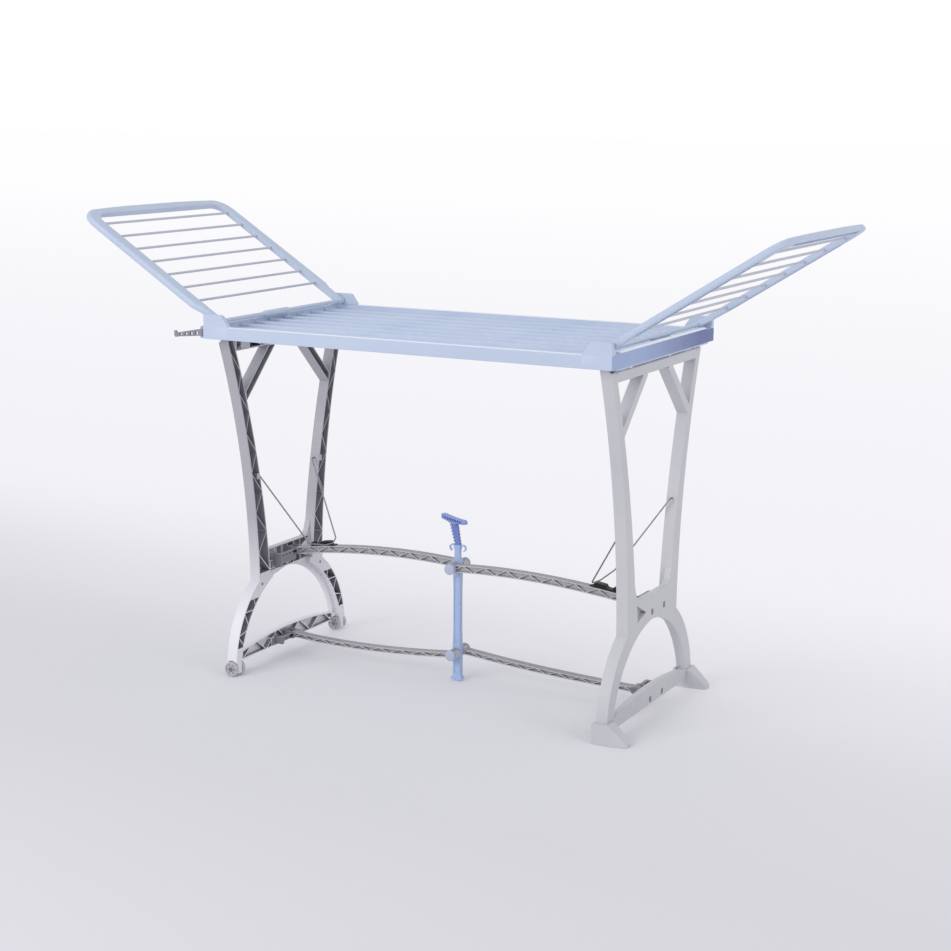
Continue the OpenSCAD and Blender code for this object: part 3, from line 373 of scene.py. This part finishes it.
def square_corners(obj, square):
    """Moves a piece's corners where square(place) says, and picks its hard edges afresh."""
    for vertex in obj.data.vertices:
        moved = square(vertex.co)
        if moved is not None:
            vertex.co = moved
    bpy.ops.object.mode_set(mode="EDIT")
    bpy.ops.mesh.select_all(action="SELECT")
    bpy.ops.mesh.remove_doubles(threshold=MERGE_WITHIN)
    pick_hard_edges()
    bpy.ops.object.mode_set(mode="OBJECT")


def soften(source, width, segments=2, share=None, cuts=(), square=None, clamp=True):
    """A copy of a frame node with its hard edges rounded over, small bores left sharp.

    share(a, b) says how much of the width an edge from a to b gets. cuts are planes (place,
    normal) that part long edges first, so that their two sides can be rounded differently.
    clamp=False lets the rounding run on where short edges would hold all of it back.
    square(place) gives a corner's new place before the rounding, or None to leave it.
    """
    cad = NODES[source]
    obj = frame_copy(source)
    bpy.context.tool_settings.mesh_select_mode = (False, True, False)
    bpy.ops.object.mode_set(mode="EDIT")
    for place, normal in cuts:
        bpy.ops.mesh.select_all(action="SELECT")
        bpy.ops.mesh.bisect(plane_co=place, plane_no=normal)
    pick_hard_edges()
    bpy.ops.object.mode_set(mode="OBJECT")
    if square:
        square_corners(obj, square)
    mesh = obj.data
    weight = mesh.attributes.new("bevel_weight_edge", "FLOAT", "EDGE")
    for edge in mesh.edges:
        a, b = (mesh.vertices[i].co for i in edge.vertices)
        rounded = edge.select and (a - b).length > SHORTEST_EDGE
        weight.data[edge.index].value = (share(a, b) if share else 1.0) if rounded else 0.0
    apply_modifier(obj, "BEVEL", width=width, segments=segments, limit_method="WEIGHT",
                   use_clamp_overlap=clamp, harden_normals=False)
    finish_piece(obj, source + "_moulding", cad["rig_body"], cad.data.materials[0],
                 NODE_SLOT[source], source, angle=SMOOTH_MOULDING)
    apply_modifier(obj, "WEIGHTED_NORMAL", keep_sharp=True)
    return obj


def add_finish(mesh, mat):
    """Gives a mesh one more material, and returns its number there."""
    mesh.materials.append(mat)
    return len(mesh.materials) - 1


# ---------------------------------------------------------------- painted shade in pockets and on upper faces

# how far apart the walls of a pocket can be
LEG_POCKET = 0.034
STRETCHER_POCKET = 0.03
GRIP_POCKET = 0.012
LEG_SKINS = (0.0025, 0.012)
# the height above a face at which the look for a wall starts
OFF_THE_FACE = 0.0002
# a face whose normal rises more than this is an upper face
UPWARD = 0.8


def paint_pocket_shade(obj, mat, reach, skins=None):
    """Faces that look at a wall of the same piece within reach take mat, a darker colour: painted
    shade.

    skins are two depths from the piece's outermost x. A face that starts outside the first and
    goes in past the second is the piece's own outside, and is left as it is.
    """
    mesh = obj.data
    outermost = max(abs(v.co.x) for v in mesh.vertices)
    tree = BVHTree.FromPolygons([v.co for v in mesh.vertices],
                                [tuple(p.vertices) for p in mesh.polygons])
    inside = add_finish(mesh, mat)
    for face in mesh.polygons:
        depths = [outermost - abs(mesh.vertices[i].co.x) for i in face.vertices]
        if skins and min(depths) < skins[0] and max(depths) > skins[1]:
            continue
        start = face.center + face.normal * OFF_THE_FACE
        if tree.ray_cast(start, face.normal, reach)[0] is not None:
            face.material_index = inside


def paint_top_shade(obj):
    """The upward faces of a stretcher, outside its pockets, take a darker grey than its sides:
    painted shade.
    """
    mesh = obj.data
    top = add_finish(mesh, STRETCHER_TOP_PAINTED_SHADE)
    for face in mesh.polygons:
        if face.normal.z > UPWARD and face.material_index == 0:
            face.material_index = top


# ---------------------------------------------------------------- tray rails and corner blocks

ALONG = (1.0, 0.0, 0.0)
ACROSS = (0.0, 1.0, 0.0)
# the corner blocks' length along the tray, and how far from the tray's middle they begin,
# along it and across it
BLOCK_LENGTH = 0.078
BLOCK_FOOT = TRAY_END - BLOCK_LENGTH
BLOCK_SIDE = 0.3035
# the rails are parted where a block begins and again just past it. Their sloped top edge turns
# square between the two, and is square where it is more than BLOCK_STEP past the beginning
CUT_STEPS = (0.0, 0.002)
BLOCK_STEP = 0.0015
BLOCK_CUTS = [((s * (BLOCK_FOOT + step), 0.0, 0.0), ALONG)
              for s in (-1, 1) for step in CUT_STEPS]
BLOCK_CUTS += [((0.0, s * (BLOCK_SIDE + step), 0.0), ACROSS)
               for s in (-1, 1) for step in CUT_STEPS]
# the sloped edge lies within this of the rails' outer faces and of their top
RAIL_EDGE = 0.0035
# how far down from the rails' top their edges are left sharp under a block
BLOCK_DEPTH = 0.004
# where a long rail ends against an end rail, and a length just over a rail's thickness
RAIL_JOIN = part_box("tray_right_rail")[0][0]
JOIN_LENGTH = 0.015
# how far from the tray's middle line the painted highlight on the rim stops at a block
RIM_HIGHLIGHT_END = 0.27
# how far in from the tray's end a face still belongs to it
END_FACE = 0.0012


def paint_end_shade(obj):
    """The faces across the tray's two ends take a deeper blue that darkens to the rear: painted
    shade.
    """
    mesh = obj.data
    end_shade = add_finish(mesh, END_FACE_PAINTED_SHADE)
    for face in mesh.polygons:
        if abs(face.center.x) > TRAY_END - END_FACE and face.center.z < TRAY_TOP - NEAR:
            face.material_index = end_shade


def square_under_blocks(place):
    """The rails' sloped top edges are square where the corner blocks stand on them."""
    x, y, z = place
    if abs(x) < BLOCK_FOOT + BLOCK_STEP or abs(y) < BLOCK_SIDE + BLOCK_STEP:
        return None
    if z < TRAY_TOP - RAIL_EDGE or z > TRAY_TOP + NEAR:
        return None
    if abs(x) > TRAY_END - RAIL_EDGE:
        return Vector((TRAY_END if x > 0.0 else -TRAY_END, y, TRAY_TOP))
    if abs(y) > TRAY_SIDE - RAIL_EDGE:
        return Vector((x, TRAY_SIDE if y > 0.0 else -TRAY_SIDE, TRAY_TOP))
    return None


def clear_of_blocks(a, b):
    """No rounding where a corner block grows out of a rail, or where two rails meet."""
    under = (min(abs(a.x), abs(b.x)) > BLOCK_FOOT - NEAR
             and min(abs(a.y), abs(b.y)) > BLOCK_SIDE - NEAR
             and min(a.z, b.z) > TRAY_TOP - BLOCK_DEPTH)
    met = (max(abs(abs(a.x) - RAIL_JOIN), abs(abs(b.x) - RAIL_JOIN)) < NEAR
           and abs(a.y - b.y) < JOIN_LENGTH)
    return 0.0 if under or met else 1.0


def clear_of_rail(a, b):
    """No rounding where a corner block meets the rail below it."""
    return 0.0 if max(a.z, b.z) < TRAY_TOP + NEAR else 1.0


def plain_under_blocks(obj):
    """The painted highlight along the rim stops at the corner blocks."""
    mesh = obj.data
    plain = add_finish(mesh, TRAY_BLUE)
    for face in mesh.polygons:
        if abs(face.center.x) > BLOCK_FOOT and abs(face.center.y) > RIM_HIGHLIGHT_END:
            face.material_index = plain


# ---------------------------------------------------------------- wings

WING_HINGE = {j["child"]: j for j in frame["joints"] if j["name"].endswith("wing_hinge")}
# distances outward from a wing's hinge line: where the boss round its pin, its neck and its
# inner edges end, and where the grooves under its side rails and its end rail lie
WING_BOSS = 0.013
WING_NECK = 0.046
WING_END = 0.5
SIDE_GROOVE = (0.08, 0.43)
END_GROOVE = (0.484, 0.503)
# distances to either side of a wing's middle line
WING_INNER = 0.28
SIDE_GROOVE_ASIDE = (0.282, 0.311)
END_GROOVE_ASIDE = 0.24
# an edge whose middle is this near to the plane halfway up a wing stands upright
UPRIGHT_WITHIN = 0.0082
# the rounding of an upper outer edge, and the share of it that the other edges get
WING_ROUND = 0.008
UPRIGHT_SHARE = 0.1
GROOVE_SHARE = 0.05
NECK_SHARE = 0.3
UNDER_SHARE = 0.58
INNER_SHARE = 0.5


def in_groove(out, aside):
    """Whether a place under a wing is on the rim of one of its moulded grooves."""
    along_rail = (SIDE_GROOVE[0] < out < SIDE_GROOVE[1]
                  and SIDE_GROOVE_ASIDE[0] < aside < SIDE_GROOVE_ASIDE[1])
    return along_rail or (END_GROOVE[0] < out < END_GROOVE[1] and aside < END_GROOVE_ASIDE)


def round_wing(side):
    """A wing's upper outer edges are rounded most, and the rims of its grooves hardly at all."""
    joint = WING_HINGE[side + "_wing"]
    tilt = radians(-joint["range_deg"][0])
    outward = -1.0 if side == "left" else 1.0
    hinge = Vector(joint["pos_m"])
    reach = Vector((outward * cos(tilt), 0.0, sin(tilt)))

    def share(a, b):
        """How much of the rounding an edge from a to b gets."""
        middle = (a + b) / 2.0 - hinge
        out = middle.dot(reach)
        up = middle.z * cos(tilt) - outward * middle.x * sin(tilt)
        if out < WING_BOSS + NEAR:
            return 0.0
        if abs(up) < UPRIGHT_WITHIN:
            return UPRIGHT_SHARE
        if up < 0.0 and in_groove(out, abs(middle.y)):
            return GROOVE_SHARE
        if out < WING_NECK:
            return NECK_SHARE
        if up < 0.0:
            return UNDER_SHARE
        return INNER_SHARE if abs(middle.y) < WING_INNER and out < WING_END else 1.0

    soften(side + "_wing_frame", WING_ROUND, segments=6, share=share, clamp=False,
           cuts=[(hinge + reach * WING_BOSS, reach)])


# ---------------------------------------------------------------- grip

GRIP_TURN = radians(-28.0)
# the depth of the bar below the grip's top, and the share of its size that is kept
GRIP_ROOT = 0.027
GRIP_SLIM = 0.72


def slim_grip(place):
    """The grip's bar is moulded slimmer than its frame node, across it and in its height."""
    low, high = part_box("handle_grip")
    drop = place.z - high[2]
    if drop < -GRIP_ROOT:
        return None
    middle = Vector(((low[0] + high[0]) / 2.0, (low[1] + high[1]) / 2.0, place.z))
    across = Vector((-sin(GRIP_TURN), cos(GRIP_TURN), 0.0))
    aside = (place - middle).dot(across)
    sunk = Vector((0.0, 0.0, drop + GRIP_ROOT))
    return place + (across * aside + sunk) * (GRIP_SLIM - 1.0)


# ---------------------------------------------------------------- rounded pieces

# how wide the rounding of each kind of piece is
LEG_ROUND = 0.0016
SHOE_ROUND = 0.003
STRETCHER_ROUND = 0.0008
FITTING_ROUND = 0.0007
RAIL_ROUND = 0.002
BAR_ROUND = 0.0014
GRIP_ROUND = 0.0008

for part in ("left_upper_frame", "left_lower_frame", "right_upper_frame",
             "right_lower_frame"):
    paint_pocket_shade(soften(part, LEG_ROUND), LEG_POCKET_PAINTED_SHADE, LEG_POCKET, skins=LEG_SKINS)
for part in ("right_front_foot", "right_rear_foot"):
    soften(part, SHOE_ROUND, segments=3)
for part in ("upper_left_arm", "lower_left_arm", "upper_right_arm", "lower_right_arm"):
    arm = soften(part, STRETCHER_ROUND)
    paint_pocket_shade(arm, STRETCHER_POCKET_PAINTED_SHADE, STRETCHER_POCKET)
    paint_top_shade(arm)
for part in ("left_upper_bracket", "left_lower_bracket", "right_upper_bracket",
             "right_lower_bracket", "left_clip", "right_clip", "handle_hooks", "hub_caps",
             "front_wheels", "rear_wheels", "hanger_arm", "tray_seats", "tray_hinge_lugs",
             "tray_cross_bars"):
    soften(part, FITTING_ROUND)
for part in ("tray_front_rail", "tray_rear_rail", "tray_left_rail", "tray_right_rail"):
    rail = soften(part, RAIL_ROUND, segments=3, share=clear_of_blocks, cuts=BLOCK_CUTS,
                  square=square_under_blocks)
    dress(rail, RIM_BLUE_PAINTED_HIGHLIGHT)
    plain_under_blocks(rail)
    paint_end_shade(rail)
paint_end_shade(soften("tray_corner_blocks", RAIL_ROUND, segments=3, share=clear_of_rail))
for side in ("left", "right"):
    round_wing(side)
for part in ("tray_slats", "left_wing_rods", "right_wing_rods", "handle_post", "left_wing_bar",
             "right_wing_bar"):
    soften(part, BAR_ROUND, segments=3)
paint_pocket_shade(soften("handle_grip", GRIP_ROUND, square=slim_grip), GRIP_POCKET_PAINTED_SHADE, GRIP_POCKET)

# ---------------------------------------------------------------- wire stays

WIRE_RADIUS = 0.002
# a bend starts this far from its corner, and within this share of the stretch beside it
BEND = 0.012
BEND_SHARE = 0.4
# the straight length at each end, where the wire goes into a post
POST_LENGTH = 0.021
# the wire's corners on its stretcher, measured from its lowest place: sideways to the posts,
# from end to end, and up
STRETCHER_CORNERS = ((0.008, -0.042, 0.009), (0.0, -0.014, 0.0), (0.005, 0.014, 0.0),
                     (0.018, 0.074, 0.015))


def rounded_route(corners):
    """Points along a bent wire, with a short stretch on each side of every bend."""
    points = [corners[0]]
    for before, corner, after in zip(corners, corners[1:], corners[2:]):
        back = before - corner
        ahead = after - corner
        points.append(corner + back.normalized() * min(BEND, back.length * BEND_SHARE))
        points.append(corner)
        points.append(corner + ahead.normalized() * min(BEND, ahead.length * BEND_SHARE))
    points.append(corners[-1])
    return points


def wire_stay(source, turn):
    """One length of wire, sprung into both posts and bent to lie on its stretcher."""
    low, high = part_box(source)
    near, far = (low, high) if turn > 0 else (high, low)
    foot_x = near[0] + turn * WIRE_RADIUS
    post_x = far[0] - turn * WIRE_RADIUS
    foot_z = low[2] + WIRE_RADIUS
    post_z = high[2] - WIRE_RADIUS
    end_y = high[1]
    corners = [Vector((post_x, -turn * end_y, post_z)),
               Vector((post_x, -turn * (end_y - POST_LENGTH), post_z))]
    corners += [Vector((foot_x + turn * aside, turn * onward, foot_z + up))
                for aside, onward, up in STRETCHER_CORNERS]
    corners += [Vector((post_x, turn * (end_y - POST_LENGTH), post_z)),
                Vector((post_x, turn * end_y, post_z))]
    route = rounded_route(corners)
    bpy.ops.object.select_all(action="DESELECT")
    bpy.ops.curve.primitive_nurbs_path_add()
    obj = bpy.context.object
    curve = obj.data
    curve.splines.clear()
    spline = curve.splines.new("NURBS")
    spline.points.add(len(route) - 1)
    for point, place in zip(spline.points, route):
        point.co = (*place, 1.0)
    spline.order_u = 3
    spline.use_endpoint_u = True
    spline.resolution_u = 5
    curve.bevel_depth = WIRE_RADIUS
    curve.bevel_resolution = 3
    curve.use_fill_caps = True
    only(obj)
    bpy.ops.object.convert(target="MESH")
    finish_piece(bpy.context.object, source + "_bent", NODES[source]["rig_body"], STEEL,
                 "steel", source, angle=SMOOTH_WIRE)


wire_stay("left_wire_stay", -1.0)
wire_stay("right_wire_stay", 1.0)

# ---------------------------------------------------------------- floor

FLOOR_SIZE = 120.0
FLOOR_DROP = 0.0005
# the floor's tone goes by the way ahead of the camera, and this share of the way to its right;
# that grade is painted shade and light
FLOOR_SHADE_LEAN = 0.6
# where on that way the tones begin and end, and where the floor goes from lit to glowing
FLOOR_DEPTH = (-1.0, 24.0)
LIT_TO_GLOWING = (-0.45, 1.7)
# the grey near the front and the lean to the right are painted shade and light on the floor
FLOOR_NEAR = (226, 225, 230)
FLOOR_FAR = (254, 254, 255)
# shares of the way from the first tone to the last, and the tones there
FLOOR_TONES = ((0.03, (234, 233, 238)), (0.05, (240, 239, 244)), (0.13, (243, 242, 247)),
               (0.25, (245, 245, 249)), (0.5, (249, 249, 252)))


def floor_material():
    """Grey and lit in front, where the shadows lie, and white with no shading far behind. The
    grey-to-white grade is painted shade and light.
    """
    mat, tree, out = new_material("studio_floor")
    place = node(tree, "ShaderNodeTexCoord").outputs["Object"]
    mapping = node(tree, "ShaderNodeMapping")
    mapping.inputs["Rotation"].default_value = (0.0, 0.0, radians(-CAMERA_TURN))
    tree.links.new(place, mapping.inputs["Vector"])
    split = node(tree, "ShaderNodeSeparateXYZ")
    tree.links.new(mapping.outputs["Vector"], split.inputs["Vector"])
    back = node(tree, "ShaderNodeMath", operation="MULTIPLY_ADD")
    back.inputs[1].default_value = FLOOR_SHADE_LEAN
    tree.links.new(split.outputs["X"], back.inputs[0])
    tree.links.new(split.outputs["Y"], back.inputs[2])
    ramp = node(tree, "ShaderNodeValToRGB")
    stops = ramp.color_ramp.elements
    stops[0].position, stops[0].color = 0.0, linear(*FLOOR_NEAR)
    stops[1].position, stops[1].color = 1.0, linear(*FLOOR_FAR)
    for at, tone in FLOOR_TONES:
        stops.new(at).color = linear(*tone)
    tree.links.new(spread(tree, back.outputs["Value"], 0.0, 1.0, at=FLOOR_DEPTH),
                   ramp.inputs["Fac"])
    lit = node(tree, "ShaderNodeBsdfDiffuse")
    tree.links.new(ramp.outputs["Color"], lit.inputs["Color"])
    glow = node(tree, "ShaderNodeEmission", Strength=1.0)
    tree.links.new(ramp.outputs["Color"], glow.inputs["Color"])
    fade = node(tree, "ShaderNodeMapRange", interpolation_type="SMOOTHSTEP")
    fade.inputs["From Min"].default_value, fade.inputs["From Max"].default_value = LIT_TO_GLOWING
    tree.links.new(back.outputs["Value"], fade.inputs["Value"])
    mix = node(tree, "ShaderNodeMixShader")
    tree.links.new(fade.outputs["Result"], mix.inputs["Fac"])
    tree.links.new(lit.outputs["BSDF"], mix.inputs[1])
    tree.links.new(glow.outputs["Emission"], mix.inputs[2])
    tree.links.new(mix.outputs["Shader"], out.inputs["Surface"])
    return mat


bpy.ops.object.select_all(action="DESELECT")
bpy.ops.mesh.primitive_plane_add(size=FLOOR_SIZE, location=(0.0, 0.0, -FLOOR_DROP))
floor = bpy.context.object
floor.name = "floor"
dress(floor, floor_material())

# ---------------------------------------------------------------- light

ROOM_LIGHT = 0.62
ROOM_COLOUR = (0.97, 0.98, 1.0, 1.0)
WHITE = (1.0, 1.0, 1.0, 1.0)


def light_room():
    """A plain room light on the object, and a white background wherever it is seen."""
    world = bpy.data.worlds.new("studio")
    bpy.context.scene.world = world
    world.use_nodes = True
    tree = world.node_tree
    tree.nodes.clear()
    out = tree.nodes.new("ShaderNodeOutputWorld")
    room = node(tree, "ShaderNodeBackground", Strength=ROOM_LIGHT, Color=ROOM_COLOUR)
    white = node(tree, "ShaderNodeBackground", Strength=1.0, Color=WHITE)
    path = node(tree, "ShaderNodeLightPath")
    seen = path.outputs["Is Camera Ray"]
    for ray in ("Is Glossy Ray", "Is Transmission Ray"):
        either = node(tree, "ShaderNodeMath", operation="MAXIMUM")
        tree.links.new(seen, either.inputs[0])
        tree.links.new(path.outputs[ray], either.inputs[1])
        seen = either.outputs["Value"]
    pick = node(tree, "ShaderNodeMixShader")
    tree.links.new(seen, pick.inputs["Fac"])
    tree.links.new(room.outputs["Background"], pick.inputs[1])
    tree.links.new(white.outputs["Background"], pick.inputs[2])
    tree.links.new(pick.outputs["Shader"], out.inputs["Surface"])


def softbox(name, place, aim, size, power):
    """A rectangular lamp at a place, turned to its aim."""
    lamp = bpy.data.lights.new(name, "AREA")
    lamp.shape = "RECTANGLE"
    lamp.size, lamp.size_y = size
    lamp.energy = power
    obj = bpy.data.objects.new(name, lamp)
    bpy.context.scene.collection.objects.link(obj)
    obj.location = place
    look = Vector(aim) - Vector(place)
    obj.rotation_euler = look.to_track_quat("-Z", "Y").to_euler()


light_room()
softbox("key", place=(-1.6, -4.6, 2.6), aim=(0.0, 0.0, 0.6), size=(3.4, 2.4), power=100.0)
softbox("top", place=(0.3, 0.4, 4.2), aim=(0.1, 0.0, 0.0), size=(3.6, 3.0), power=12.0)
softbox("side", place=(4.4, -1.2, 2.2), aim=(0.3, 0.0, 0.6), size=(2.2, 2.6), power=30.0)
